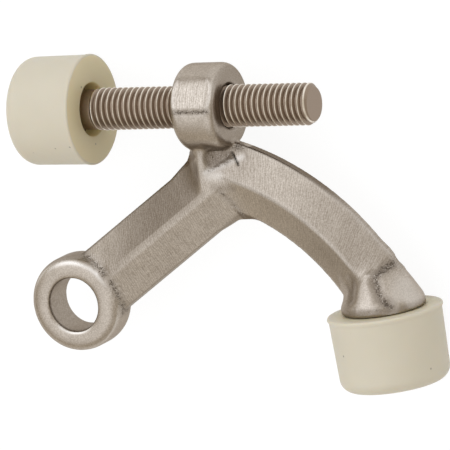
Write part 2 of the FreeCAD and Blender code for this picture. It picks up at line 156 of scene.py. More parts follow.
def satin_nickel():
    # Satin nickel plate on a casting, brushed by hand. The eye sees a warm grey metal with fine streaks
    # across the arms, bright rubbed edges and painted highlights, brown painted shade in the low places and
    # on faces turned from the light, and dull grey grit left as cast.
    material, tree = new_material("satin_nickel")
    spot = node(tree, "ShaderNodeTexCoord").outputs["Object"]
    place = node(tree, VECTOR, (spot, 1 / MM), operation="SCALE")
    marks = {name: node(tree, ATTRIBUTE, attribute_name=name).outputs["Fac"] for name in CASTING_MARKS}

    x = node(tree, SEPARATE, (place,)).outputs[0]
    stroke = (cos(ARM_BRUSHING), sin(ARM_BRUSHING), 0.0)
    along_arm = node(tree, VECTOR, (place, stroke), operation="DOT_PRODUCT")
    from_centre = node(tree, VECTOR, (place, (CURVE_X, CURVE_Y, 0.0)), operation="SUBTRACT")
    right, above, _ = node(tree, SEPARATE, (from_centre,)).outputs
    swing = node(tree, MATH, (above, right), operation="ARCTAN2")
    outward = node(tree, VECTOR, (node(tree, COMBINE, (right, above)),), operation="LENGTH")
    slant = node(tree, MATH, (outward, CURVE_SLANT), operation="MULTIPLY")
    along_curve = node(tree, MATH, (swing, CURVE_RADIUS, slant), operation="MULTIPLY_ADD")
    arm_lines = brush_lines(tree, along_arm, place)
    curve_lines = brush_lines(tree, along_curve, place)
    boss_lines = brush_lines(tree, x, place)
    lines = node(tree, MIX, (marks["on_curve"], arm_lines, curve_lines))
    lines = node(tree, MIX, (marks["on_boss"], lines, boss_lines))
    brushed = node(tree, MIX, (marks["brush"], 0.5, lines))

    cloud = node(tree, NOISE, (place, 1 / CLOUD))
    grain = node(tree, NOISE, (place, 1 / GRAIN, FINE_DETAIL))
    speckle = node(tree, RANGE, (grain, 0.32, 0.68, 0.0, 1.0), **SMOOTH)
    blotches = node(tree, NOISE, (place, 1 / BLOTCH))
    uneven = node(tree, MATH, (blotches, 0.9, 0.35), operation="MULTIPLY_ADD")
    dull = node(tree, MATH, (uneven, marks["rough_cast_and_shade"]), operation="MULTIPLY")
    grit = node(tree, NOISE, (place, 1 / GRIT, FINE_DETAIL))
    deep_grit = node(tree, MATH, (dull, 0.5, grit), operation="MULTIPLY_ADD")
    pits = node(tree, RANGE, (deep_grit, 0.82, 1.02, 0.0, 1.0), **SMOOTH)
    bright_grit = node(tree, RANGE, (grit, 0.42, 0.34, 0.0, 1.0), **SMOOTH)
    sparkle = node(tree, MATH, (bright_grit, marks["rough_cast_and_shade"]), operation="MULTIPLY")

    tone = 0.0
    for pattern, share in ((brushed, 0.3), (cloud, 0.3), (speckle, 0.4)):
        tone = node(tree, MATH, (pattern, share, tone), operation="MULTIPLY_ADD")
    colour = node(tree, MIX, (tone, linear("#908579"), linear("#cdc3b7")), data_type="RGBA")
    # Layers over the tone: rubbed edges and painted highlights, painted shade, dull grey as cast (in places
    # painted shade), light grit, pits and the crack.
    layers = (
        (marks["polish_and_highlight"], 0.7, "#e4dfd9"),
        (marks["painted_shade"], 1.0, "#5f5040"),
        (dull, 0.55, "#7d7369"),
        (sparkle, 0.6, "#d2cbc2"),
        (pits, 0.75, "#4a4239"),
        (marks["crack"], 1.0, "#17140f"),
    )
    for mark, strength, hex_colour in layers:
        cover = node(tree, MATH, (mark, strength), operation="MULTIPLY")
        colour = node(tree, MIX, (cover, colour, linear(hex_colour)), data_type="RGBA")

    roughness = node(tree, RANGE, (brushed, 0.0, 1.0, 0.38, 0.28), **SMOOTH)
    for mark, marked_roughness in ((marks["polish_and_highlight"], 0.24), (marks["rough_cast_and_shade"], 0.5)):
        roughness = node(tree, MIX, (mark, roughness, marked_roughness))
    height = 0.0
    for pattern, rise in ((brushed, 0.004), (grain, 0.012), (cloud, 0.08), (pits, -0.03)):
        height = node(tree, MATH, (pattern, rise, height), operation="MULTIPLY_ADD")
    shader = {
        "Base Color": colour, "Metallic": 1.0, "Roughness": roughness, "Specular Tint": linear("#d0c9c1"),
    }
    finish_material(tree, shader, height)
    return material


def rolled_nickel():
    # Nickel plate on a rolled thread. The eye sees brown-grey grooves between bright crests, painted light
    # as rubbed wear and as a painted highlight, and the crests are a little uneven from wear.
    wear_patch = 2 / 3
    fine_grain = 1 / 6
    grain_height = 0.008
    material, tree = new_material("rolled_nickel")
    spot = node(tree, "ShaderNodeTexCoord").outputs["Object"]
    place = node(tree, VECTOR, (spot, 1 / MM), operation="SCALE")
    crest = node(tree, ATTRIBUTE, attribute_name="crest").outputs["Fac"]
    # The crests are painted lighter: rubbed wear and a painted highlight.
    rub_and_highlight = node(tree, RANGE, (crest, 0.75, 1.0, 0.0, 1.0), **SMOOTH)
    patches = node(tree, NOISE, (place, 1 / wear_patch))
    patchy = node(tree, RANGE, (patches, 0.3, 0.6, 0.75, 1.0), **SMOOTH)
    crest_wear_and_highlight = node(tree, MATH, (rub_and_highlight, patchy), operation="MULTIPLY")
    colour = node(tree, MIX, (crest_wear_and_highlight, linear("#998878"), linear("#f2e9dc")), data_type="RGBA")
    roughness = node(tree, RANGE, (crest_wear_and_highlight, 0.0, 1.0, 0.45, 0.3), **SMOOTH)
    grain = node(tree, NOISE, (place, 1 / fine_grain))
    height = node(tree, MATH, (grain, grain_height), operation="MULTIPLY")
    finish_material(tree, {"Base Color": colour, "Metallic": 1.0, "Roughness": roughness}, height)
    return material


def cream_rubber():
    # Moulded cream rubber. The eye sees a smooth, softly shining cap with light that sinks in a little,
    # a slight drift in tone, warm light painted on its mouth and a few dark specks.
    tone_drift = 7.14
    speck_spacing = 2.94
    # In shares of the spacing
    speck_middle, speck_edge = 0.035, 0.075
    speck_strength = 0.6
    skin_grain = 0.25
    skin_height = 0.004
    material, tree = new_material("cream_rubber")
    spot = node(tree, "ShaderNodeTexCoord").outputs["Object"]
    place = node(tree, VECTOR, (spot, 1 / MM), operation="SCALE")
    drift = node(tree, NOISE, (place, 1 / tone_drift))
    colour = node(tree, MIX, (drift, linear("#cdc6b3"), linear("#d6cfbe")), data_type="RGBA")
    cells = node(tree, "ShaderNodeTexVoronoi", (place, 1 / speck_spacing))
    specks = node(tree, RANGE, (cells, speck_middle, speck_edge, speck_strength, 0.0), **SMOOTH)
    painted_warm_light = node(tree, ATTRIBUTE, attribute_name="painted_warm_light").outputs["Fac"]
    for mark, hex_colour in ((painted_warm_light, "#f6e5a9"), (specks, "#6f6658")):
        colour = node(tree, MIX, (mark, colour, linear(hex_colour)), data_type="RGBA")
    skin = node(tree, NOISE, (place, 1 / skin_grain))
    height = node(tree, MATH, (skin, skin_height), operation="MULTIPLY")
    shader = {
        "Base Color": colour, "Roughness": 0.52, "Specular IOR Level": 0.35,
        "Subsurface Weight": 0.3, "Subsurface Radius": (1.0, 0.7, 0.4), "Subsurface Scale": MM,
    }
    finish_material(tree, shader, height)
    return material


# Pieces

def add_object(name, mesh, material, body, replaced, sharp_angle=50):
    """Shows a mesh in place of a CAD node, on one body. Edges past an angle in degrees stay sharp."""
    shown = bpy.data.objects.new(name, mesh)
    bpy.context.scene.collection.objects.link(shown)
    mesh.materials.clear()
    mesh.materials.append(material)
    mesh.polygons.foreach_set("use_smooth", [True] * len(mesh.polygons))
    mesh.set_sharp_from_angle(angle=radians(sharp_angle))
    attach(shown, body)
    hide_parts(replaced)


def evaluated(mesh, *modifiers):
    """New mesh with modifiers applied, each a type, its settings and the values of its node inputs."""
    holder = bpy.data.objects.new("holder", mesh)
    bpy.context.scene.collection.objects.link(holder)
    for kind, settings, values in modifiers:
        modifier = holder.modifiers.new(kind.lower(), kind)
        for name, value in settings.items():
            setattr(modifier, name, value)
        for name, value in values.items():
            sockets = modifier.node_group.interface.items_tree
            socket = next(s for s in sockets if s.in_out == "INPUT" and s.name == name)
            modifier[socket.identifier] = value
    graph = bpy.context.evaluated_depsgraph_get()
    result = bpy.data.meshes.new_from_object(holder.evaluated_get(graph))
    bpy.data.objects.remove(holder)
    return result


def read(items, field, kind, width):
    """Array of one field of a mesh's items, with a row for each item."""
    values = np.empty(len(items) * width, kind)
    items.foreach_get(field, values)
    return values.reshape(-1, width)


def add_attribute(mesh, name, values):
    mesh.attributes.new(name, "FLOAT", "POINT").data.foreach_set("value", values.astype(np.float32))


# Turned pieces

def lathe(name, profile, origin, along, segments=128):
    """Mesh turned about an axis from (radius, distance along) pairs in millimetres."""
    along = Vector(along).normalized()
    side = Vector((0, 0, 1))
    other = along.cross(side)
    turns = [2 * pi * i / segments for i in range(segments)]
    mesh = bpy.data.meshes.new(name)
    shape = bmesh.new()
    rings = []
    for radius, distance in profile:
        middle = Vector(origin) + along * distance
        if radius == 0:
            rings.append([shape.verts.new(middle * MM)])
            continue
        ring = [middle + (side * cos(t) + other * sin(t)) * radius for t in turns]
        rings.append([shape.verts.new(point * MM) for point in ring])
    for first, second in zip(rings, rings[1:]):
        for i in range(segments):
            j = (i + 1) % segments
            corners = [first[i % len(first)], first[j % len(first)]]
            corners += [second[j % len(second)], second[i % len(second)]]
            shape.faces.new(dict.fromkeys(corners))
    bmesh.ops.recalc_face_normals(shape, faces=shape.faces)
    shape.to_mesh(mesh)
    shape.free()
    return mesh


def arc(radius, distance, size, start, end, steps=8):
    """Points of a round about a centre, in degrees from the outward direction."""
    angles = [radians(start + (end - start) * i / steps) for i in range(steps + 1)]
    return [(radius + size * cos(a), distance + size * sin(a)) for a in angles]


def bumper_profile(lip, side, end, length, mouth):
    """Cap from the floor of its socket out of the mouth, round the lip and down to the closed end.

    Lip, side, end and mouth are radii, and the mouth's face is at distance 0.
    """
    socket, socket_top, socket_floor = 5.05, -2.6, -5.1
    mouth_edge = 0.15
    lip_round = 0.3
    lip_bottom, undercut, undercut_bottom = -0.42, -0.72, -0.9
    undercut_step = 0.03
    end_round = 2.0
    return [
        (0, socket_floor), (socket, socket_floor), (socket, socket_top), (mouth, socket_top),
        (mouth, -mouth_edge), (mouth + mouth_edge, 0),
        *arc(lip - lip_round, -lip_round, lip_round, 90, 0),
        (lip, lip_bottom), (side + undercut_step, undercut), (side, undercut_bottom),
        *arc(end - end_round, -length + end_round, end_round, 0, -90, 12),
        (0, -length),
    ]


def make_bumpers(material):
    stud_profile = bumper_profile(lip=8.05, side=7.95, end=7.85, length=10.8, mouth=3.9)
    stud_cap = lathe("stud_bumper_rubber", stud_profile, (STUD_MOUTH, STUD_Y, 0), (1, 0, 0))
    stud_points = read(stud_cap.vertices, "co", np.float32, 3) / MM
    mouth_depth, face_radius, mouth_radius = 2.7, 7.8, 4.0
    # The mouth, and its face less, are painted warm yellow as bounce light from the metal.
    mouth_tint, face_tint = 1.0, 0.4
    across = np.hypot(stud_points[:, 1] - STUD_Y, stud_points[:, 2])
    on_face = (stud_points[:, 0] > STUD_MOUTH - mouth_depth) & (across < face_radius)
    add_attribute(stud_cap, "painted_warm_light", np.where(across < mouth_radius, mouth_tint, face_tint) * on_face)
    add_object("stud_bumper_rubber", stud_cap, material, "bumper", "stud_bumper")

    arm_profile = bumper_profile(lip=8.4, side=8.2, end=8.0, length=11.1, mouth=3.55)
    arm_cap = lathe("arm_bumper_rubber", arm_profile, (FOOT_X, FOOT_Y, 0), FOOT_AXIS)
    from_foot = read(arm_cap.vertices, "co", np.float32, 3) / MM - (FOOT_X, FOOT_Y, 0)
    # The arm bumper's top round the foot is painted warm and lighter, as light where the foot shades it.
    tint, tint_radius = 0.7, 4.5
    add_attribute(arm_cap, "painted_warm_light", tint * (np.linalg.norm(from_foot, axis=1) < tint_radius))
    add_object("arm_bumper_rubber", arm_cap, material, "stop", "arm_bumper")


# Threaded stud

THREAD_SIZES = (
    "Start", "End", "Axis Height", "Major Radius", "Root Radius", "Shank Radius",
    "Pitch", "Chamfer", "Runout",
)
THREAD_COUNTS = ("Turns", "Rows per Turn", "Sides")


def thread_tree():
    """Screw thread along X: a grid whose rows run along the helix, joined to the plain shank and head."""
    # Where the crest's flat ends and the root's flat starts, in shares of half a pitch
    crest_edge, root_edge = 0.125, 0.8
    # The rows start this many turns early, so that the start is closed all round
    hidden_turns = 1.2
    # Keeps a row at a whole turn from falling back into the turn before
    rounding = 0.001
    # Rows held at an end further than this are drawn in to the axis
    rows_held = 1.05
    weld = 0.002 * MM
    tree = bpy.data.node_groups.new("screw_thread", "GeometryNodeTree")
    tree.interface.new_socket("Geometry", in_out="INPUT", socket_type="NodeSocketGeometry")
    for name in THREAD_SIZES:
        tree.interface.new_socket(name, in_out="INPUT", socket_type="NodeSocketFloat")
    for name in THREAD_COUNTS:
        tree.interface.new_socket(name, in_out="INPUT", socket_type="NodeSocketInt")
    tree.interface.new_socket("Material", in_out="INPUT", socket_type="NodeSocketMaterial")
    tree.interface.new_socket("Geometry", in_out="OUTPUT", socket_type="NodeSocketGeometry")
    given = node(tree, "NodeGroupInput").outputs

    # The grid's X counts turns, and its Y goes once round the stud
    rows = node(tree, MATH, (given["Turns"], given["Rows per Turn"], 1.0), operation="MULTIPLY_ADD")
    columns = node(tree, MATH, (given["Sides"], 1.0), operation="ADD")
    grid = node(tree, "GeometryNodeMeshGrid", (1.0, 1.0, rows, columns))
    flat = node(tree, SEPARATE, (node(tree, "GeometryNodeInputPosition"),)).outputs
    row_share = node(tree, MATH, (flat[0], 0.5), operation="ADD")
    turn = node(tree, MATH, (row_share, given["Turns"]), operation="MULTIPLY")
    around = node(tree, MATH, (flat[1], 0.5), operation="ADD")
    angle = node(tree, MATH, (around, 2 * pi), operation="MULTIPLY")

    # Rows past either end are held there, and drawn in to the axis to close it
    wound_turns = node(tree, MATH, (turn, around), operation="ADD")
    helix = node(tree, MATH, (wound_turns, hidden_turns), operation="SUBTRACT")
    free_x = node(tree, MATH, (helix, given["Pitch"], given["Start"]), operation="MULTIPLY_ADD")
    past_start = node(tree, MATH, (free_x, given["Start"]), operation="MAXIMUM")
    x = node(tree, MATH, (past_start, given["End"]), operation="MINIMUM")
    overrun = node(tree, MATH, (free_x, x), operation="SUBTRACT")
    beyond = node(tree, MATH, (overrun,), operation="ABSOLUTE")
    row_step = node(tree, MATH, (given["Pitch"], given["Rows per Turn"]), operation="DIVIDE")
    held = node(tree, MATH, (row_step, rows_held), operation="MULTIPLY")
    capped = node(tree, MATH, (beyond, held), operation="GREATER_THAN")

    # Flat crests and roots with straight flanks, a runout to the shank and a chamfer at the free end
    counted = node(tree, MATH, (turn, rounding), operation="ADD")
    phase = node(tree, MATH, (counted,), operation="FRACT")
    sawtooth = node(tree, MATH, (phase, 2.0, -1.0), operation="MULTIPLY_ADD")
    slope = node(tree, MATH, (sawtooth,), operation="ABSOLUTE")
    crest = node(tree, RANGE, (slope, crest_edge, root_edge, 1.0, 0.0))
    depth = node(tree, MATH, (given["Major Radius"], given["Root Radius"]), operation="SUBTRACT")
    ridge = node(tree, MATH, (depth, crest, given["Root Radius"]), operation="MULTIPLY_ADD")
    runout_end = node(tree, MATH, (given["Start"], given["Runout"]), operation="ADD")
    begun = node(tree, RANGE, (x, given["Start"], runout_end, 0.0, 1.0))
    full_radius = node(tree, MIX, (begun, given["Shank Radius"], ridge))
    tip = node(tree, MATH, (given["Major Radius"], given["Chamfer"]), operation="SUBTRACT")
    to_end = node(tree, MATH, (given["End"], x), operation="SUBTRACT")
    chamfer = node(tree, MATH, (tip, to_end), operation="ADD")
    cut_radius = node(tree, MATH, (full_radius, chamfer), operation="MINIMUM")
    open_row = node(tree, MATH, (1.0, capped), operation="SUBTRACT")
    radius = node(tree, MATH, (cut_radius, open_row), operation="MULTIPLY")

    cosine = node(tree, MATH, (angle,), operation="COSINE")
    y = node(tree, MATH, (radius, cosine, given["Axis Height"]), operation="MULTIPLY_ADD")
    z = node(tree, MATH, (radius, node(tree, MATH, (angle,), operation="SINE")), operation="MULTIPLY")
    spot = node(tree, COMBINE, (x, y, z))
    half_row = node(tree, MATH, (row_step, 0.5), operation="MULTIPLY")
    end_row = node(tree, MATH, (given["End"], half_row), operation="SUBTRACT")
    at_end = node(tree, MATH, (x, end_row), operation="GREATER_THAN")
    off_end = node(tree, MATH, (1.0, at_end), operation="SUBTRACT")
    # The crest mark, left off the end face, is where the painted highlight and wear go.
    rub_and_highlight = node(tree, MATH, (crest, off_end), operation="MULTIPLY")
    crest_mark = {"Geometry": grid, "Name": "crest", "Value": rub_and_highlight}
    marked = node(tree, "GeometryNodeStoreNamedAttribute", crest_mark, data_type="FLOAT", domain="POINT")
    wound = node(tree, "GeometryNodeSetPosition", {"Geometry": marked, "Position": spot})
    closed = node(tree, "GeometryNodeMergeByDistance", {"Geometry": wound, "Distance": weld})
    outward = node(tree, "GeometryNodeFlipFaces", {"Mesh": closed})
    joined = node(tree, "GeometryNodeJoinGeometry", {"Geometry": outward})
    tree.links.new(given["Geometry"], joined.inputs["Geometry"])
    real = node(tree, "GeometryNodeRealizeInstances", {"Geometry": joined})
    painted = node(tree, "GeometryNodeSetMaterial", {"Geometry": real, "Material": given["Material"]})
    node(tree, "NodeGroupOutput", (painted,))
    return tree


def make_stud(material):
    shank = 2.9
    head, head_top, head_bottom = 5.0, -2.65, -5.05
    head_edge = 0.15
    thread_start = 0.7
    overlap = 0.05
    shank_end = thread_start + overlap
    profile = [
        (0, head_bottom), (head - head_edge, head_bottom), (head, head_bottom + head_edge),
        (head, head_top - head_edge), (head - head_edge, head_top), (shank, head_top),
        (shank, shank_end), (0, shank_end),
    ]
    sides = 72
    plain = lathe("shank", profile, (STUD_MOUTH, STUD_Y, 0), (1, 0, 0), sides)
    values = {
        "Start": (STUD_MOUTH + thread_start) * MM, "End": 41.8 * MM, "Axis Height": STUD_Y * MM,
        "Major Radius": 3.1 * MM, "Root Radius": 2.6 * MM, "Shank Radius": shank * MM,
        "Pitch": 0.907 * MM, "Chamfer": 0.65 * MM, "Runout": 0.9 * MM,
        "Turns": 41, "Rows per Turn": 10, "Sides": sides, "Material": material,
    }
    mesh = evaluated(plain, ("NODES", {"node_group": thread_tree()}, values))
    add_object("stud", mesh, material, "stud", "adjusting_stud", sharp_angle=30)


# Casting

# Outlines in X and Y of the webs that round off the corners between the arms, each this high on both sides.
NECK_WEB = [
    (17.1, 17.6), (18.7, 19.05), (19.65, 19.86), (20.45, 20.62),
    (20.9, 21.57), (21.2, 22.6), (23.5, 22.6), (23.5, 18.5),
]
CROTCH_WEB = [
    (23.8, 9.75), (26.0, 10.85), (27.0, 11.4), (27.8, 11.72),
    (29.2, 11.75), (31.0, 11.5), (30.0, 14.0), (26.0, 13.0),
]
FOOT_WEB = [(49.5, 8.35), (51.0, 6.75), (52.4, 4.7), (53.6, 2.9), (51.0, 2.8), (48.5, 7.8)]
WEB_HEIGHT = 0.7
# The foot's full cheek: height, radius, and how far round it goes in degrees.
FOOT_CHEEK = [(0.0, 5.8, 55), (1.5, 5.0, 55), (3.0, 4.1, 50), (4.5, 3.1, 15)]
CHEEK_STEPS = 3

# The rough pocket under the boss, and lines on the casting's front. The back has most of them too.
POCKET = [(25.2, 23.4), (24.5, 21.5), (24.6, 19.8), (26.6, 20.4), (28.6, 21.4), (28.4, 22.5)]
POCKET_EDGE = [(24.5, 19.2, 3.0), (26.2, 19.8, 2.6), (28.1, 20.6, 1.9), (29.8, 21.1, 1.4)]
CRACK = [(28.2, 21.9, 1.35), (28.6, 21.4, 1.5), (28.9, 20.9, 1.7), (29.4, 20.1, 2.0)]
FOOT_CREASE = [
    (51.5, 5.0, 0.8), (50.3, 4.2, 1.9), (49.5, 3.3, 3.6),
    (50.4, 2.2, 4.2), (51.1, 0.9, 4.8), (52.7, -0.5, 4.9),
]
FOOT_HOLLOW = [(45.6, 3.4, 2.6), (45.9, 2.0, 3.3), (46.1, 0.8, 4.5)]
ARM_CREST = [(5.6, 3.9, 3.05), (23.5, 16.0, 3.05)]
CROTCH = [(26.4, 16.4, 2.9), (28.3, 12.2, 0.9)]
TONGUE = [(24.8, 18.8, 3.05), (26.6, 18.7, 3.0)]
UNDER_TONGUE = [(25.3, 17.0, 3.05), (26.9, 17.1, 2.9), (28.4, 16.8, 2.7)]
EYE_EDGE = [(5.6, 3.4, 3.0), (6.1, 1.6, 3.0), (6.2, -0.8, 2.9)]
FLAT_EDGE = [(21.4, 28.8, 6.3), (27.7, 28.8, 6.3)]
FLAT_TOP = [(21.8, 33.2, 4.1), (27.2, 33.2, 4.1)]
FLAT_SIDE = [(27.3, 32.6, 4.3), (27.3, 28.9, 6.2)]

# Places left rough as cast, and three lines of painted shade and dark reflection drawn the same way: line,
# radius and strength.
ROUGH_AND_SHADE_PATCHES = [
    ([(26.4, 16.4, 2.9), (28.6, 12.6, 1.0)], 0.9, 0.75),
    # Painted shade where the boss meets the curved arm
    ([(28.4, 22.6, 1.0), (29.8, 22.3, 0.8)], 0.9, 0.8),
    ([(24.6, 19.4, 3.0), (26.2, 20.0, 2.6), (28.1, 20.8, 1.9)], 1.0, 0.7),
    ([(1.8, 7.1, 0.8), (3.4, 6.2, 1.6), (5.0, 5.2, 2.4), (5.8, 4.7, 2.9)], 1.4, 1.0),
    ([(6.7, 3.2, 2.7), (7.0, 1.5, 1.9), (7.1, -0.2, 1.2), (6.9, -1.5, 0.7)], 1.4, 1.0),
    ([(51.7, 4.9, 0.9), (50.6, 4.5, 1.9), (49.9, 3.7, 3.2)], 1.5, 1.0),
    ([(49.9, 3.7, 3.2), (50.4, 2.4, 4.2), (51.2, 0.9, 4.9)], 1.2, 0.85),
    ([(51.6, 0.4, 5.0), (52.6, -0.4, 5.0)], 1.3, 1.0),
    # Painted shade of a groove along the foot's rim
    ([(47.0, -0.7, 5.7), (49.6, -0.8, 6.1), (51.3, -0.7, 5.7)], 0.6, 0.7),
    # Painted dark reflection along the lower edge of the boss's flat
    ([(21.4, 28.9, 6.3), (27.7, 28.9, 6.3)], 0.8, 1.0),
]
# Lines sunk into the casting: line, depth and width.
SUNK_LINES = [(FOOT_CREASE, 0.3, 0.8), (FOOT_HOLLOW, 0.25, 0.9), (FLAT_EDGE, 0.18, 0.45)]
# Lines of painted shade and of painted highlight: line, strength and width. The boss's flat is on the front
# only.
SHADE_LINES = [
    (ARM_CREST, 0.22, 0.5), (UNDER_TONGUE, 0.25, 0.6), (FOOT_CREASE, 0.55, 0.8), (FOOT_HOLLOW, 0.4, 1.0),
]
SHADE_ON_FLAT = [(FLAT_TOP, 0.35, 0.5), (FLAT_SIDE, 0.3, 0.3), (FLAT_EDGE, 0.4, 0.35)]
HIGHLIGHT_LINES = [(POCKET_EDGE, 0.8, 0.45), (TONGUE, 0.6, 0.7)]


def casting_blank():
    """Copy of the CAD casting with its doubled points merged, and the webs and the foot's cheek added."""
    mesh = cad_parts["stop_body"].data.copy()
    shape = bmesh.new()
    shape.from_mesh(mesh)
    bmesh.ops.remove_doubles(shape, verts=shape.verts, dist=0.001 * MM)
    for outline in (NECK_WEB, CROTCH_WEB, FOOT_WEB):
        front = [shape.verts.new(Vector((x, y, WEB_HEIGHT)) * MM) for x, y in outline]
        back = [shape.verts.new(Vector((x, y, -WEB_HEIGHT)) * MM) for x, y in outline]
        bmesh.ops.contextual_create(shape, geom=front)
        bmesh.ops.contextual_create(shape, geom=back)
        for i in range(len(outline)):
            shape.faces.new((front[i - 1], front[i], back[i], back[i - 1]))
    cheek = []
    for height, radius, reach in FOOT_CHEEK:
        for step in range(-CHEEK_STEPS, CHEEK_STEPS + 1):
            turn = radians(reach * step / CHEEK_STEPS)
            spot = Vector((FOOT_X + radius * cos(turn), height, radius * sin(turn)))
            cheek.append(shape.verts.new(spot * MM))
    bmesh.ops.convex_hull(shape, input=cheek)
    bmesh.ops.recalc_face_normals(shape, faces=shape.faces)
    shape.to_mesh(mesh)
    shape.free()
    return mesh


def soft_step(value, start, end):
    """0 before the start and 1 past the end, with a smooth rise between."""
    t = np.clip((value - start) / (end - start), 0, 1)
    return t * t * (3 - 2 * t)


def soft_line(distance, width):
    """1 on a line, fading over a width to each side."""
    return np.exp(-(distance / width) ** 2)


def segment_distance(points, start, end):
    start = np.array(start)
    along = np.array(end) - start
    reach = np.clip((points - start) @ along / (along @ along), 0, 1)
    return np.linalg.norm(points - start - reach[:, None] * along, axis=1)


def line_distance(points, line):
    return np.min([segment_distance(points, *pair) for pair in zip(line, line[1:])], axis=0)


def line_mark(points, line, strength, width):
    return strength * soft_line(line_distance(points, line), width)


def inside_distance(points, corners):
    """Distance inside a convex outline in X and Y, with its corners counter-clockwise."""
    gaps = []
    for (x, y), (next_x, next_y) in zip(corners, corners[1:] + corners[:1]):
        across = np.array((y - next_y, next_x - x))
        gaps.append((points[:, :2] - (x, y)) @ across / np.linalg.norm(across))
    return np.min(gaps, axis=0)


def point_normals(points, quads):
    tiny = 1e-12
    a, b, c, d = (points[quads[:, i]] for i in range(4))
    facing = np.cross(c - a, d - b)
    total = np.zeros_like(points)
    for i in range(4):
        np.add.at(total, quads[:, i], facing)
    return total / np.maximum(np.linalg.norm(total, axis=1, keepdims=True), tiny)


def neighbour_mean(values, edges):
    total = np.zeros_like(values)
    np.add.at(total, edges[:, 0], values[edges[:, 1]])
    np.add.at(total, edges[:, 1], values[edges[:, 0]])
    count = np.maximum(np.bincount(edges.ravel(), minlength=len(values)), 1)
    return (total.T / count).T


def hollow_depth(points, edges, normals):
    """How far each point lies below its neighbours; on a bulge this is negative."""
    return np.einsum("ij,ij->i", neighbour_mean(points, edges) - points, normals)


def relax(points, edges, quads, where, rounds, hollows_only=True):
    """Evens a surface out near some points; with hollows only it builds fillets and keeps the edges."""
    pace = 0.5
    rounds_per_normal = 10
    edges = edges[(where[edges] > 0).any(axis=1)]
    quads = quads[(where[quads] > 0).any(axis=1)]
    for turn in range(rounds):
        if turn % rounds_per_normal == 0:
            normals = point_normals(points, quads)
        rise = hollow_depth(points, edges, normals)
        if hollows_only:
            rise = np.maximum(rise, 0)
        points = points + normals * (pace * where * rise)[:, None]
    return points


def ream(points, axis, centre, radius, low, high):
    """Puts points near a bore's wall exactly on its radius, between two distances along its axis."""
    margin = 0.35
    other = [i for i in range(3) if i != axis]
    offset = points[:, other] - np.array(centre)
    reach = np.linalg.norm(offset, axis=1)
    wall = (reach < radius + margin) & (points[:, axis] > low) & (points[:, axis] < high)
    for i, direction in enumerate(other):
        points[wall, direction] = centre[i] + offset[wall, i] * radius / reach[wall]


def fillet_casting(points, edges, quads, above_foot):
    """Fills the inner corners as a casting's are, and evens out the eye's face and the boss's flat."""
    x, y, z = points.T
    sides = np.column_stack((x, y, np.abs(z)))
    curve_end = above_foot * (x > 43)
    foot_cheek = above_foot * soft_step(x, 50.5, 52) * (1 - soft_step(y, 3.2, 4.2))
    neck = 1 - soft_step(np.hypot(x - 20.5, y - 20), 3.0, 4.5)
    crotch_tip = 1 - soft_step(np.hypot(x - 27.5, y - 12), 2.0, 3.5)
    crotch = 1 - soft_step(line_distance(sides, CROTCH), 1.5, 4.0)
    eye_face = (np.hypot(x, y) < 6.8) * soft_step(np.abs(z), 1.6, 2.4)
    boss_middle = soft_step(x, 22.3, 22.9) * (1 - soft_step(x, 26.5, 27.1)) * (np.hypot(y - STUD_Y, z) > 4.6)
    flat_edges = boss_middle * soft_step(z, 1.5, 2.5) * soft_step(y, 27.5, 28.5)
    flat_top = boss_middle * (z > 1) * soft_step(y, 30.5, 32)

    points = relax(points, edges, quads, above_foot, rounds=60)
    points = relax(points, edges, quads, curve_end, rounds=200)
    points = relax(points, edges, quads, foot_cheek, rounds=40, hollows_only=False)
    points = relax(points, edges, quads, neck, rounds=150)
    points = relax(points, edges, quads, crotch_tip, rounds=100)
    points = relax(points, edges, quads, crotch, rounds=200)
    eye_edge = 1 - soft_step(line_distance(points, EYE_EDGE), 0.9, 2.0)
    points = relax(points, edges, quads, eye_edge, rounds=60, hollows_only=False)
    points = relax(points, edges, quads, eye_face, rounds=30, hollows_only=False)
    points = relax(points, edges, quads, flat_edges, rounds=40, hollows_only=False)
    return relax(points, edges, quads, flat_top, rounds=110, hollows_only=False)


def cast_depth(points, sides, marks):
    """How deep the pocket, the crack, the sunk lines and the rough casting lie below the smooth surface."""
    pocket_depth, crack_depth, rough_depth = 0.22, 0.2, 0.12
    lumps_per_mm = 1.7
    least = 0.02
    depth = pocket_depth * marks["pocket"] + crack_depth * marks["crack"]
    for sunk in SUNK_LINES:
        depth += line_mark(sides, *sunk)
    rough_cast_and_shade = marks["rough_cast_and_shade"]
    for i in np.flatnonzero(rough_cast_and_shade > least):
        depth[i] += rough_cast_and_shade[i] * rough_depth * noise.noise(Vector(points[i]) * lumps_per_mm)
    return depth


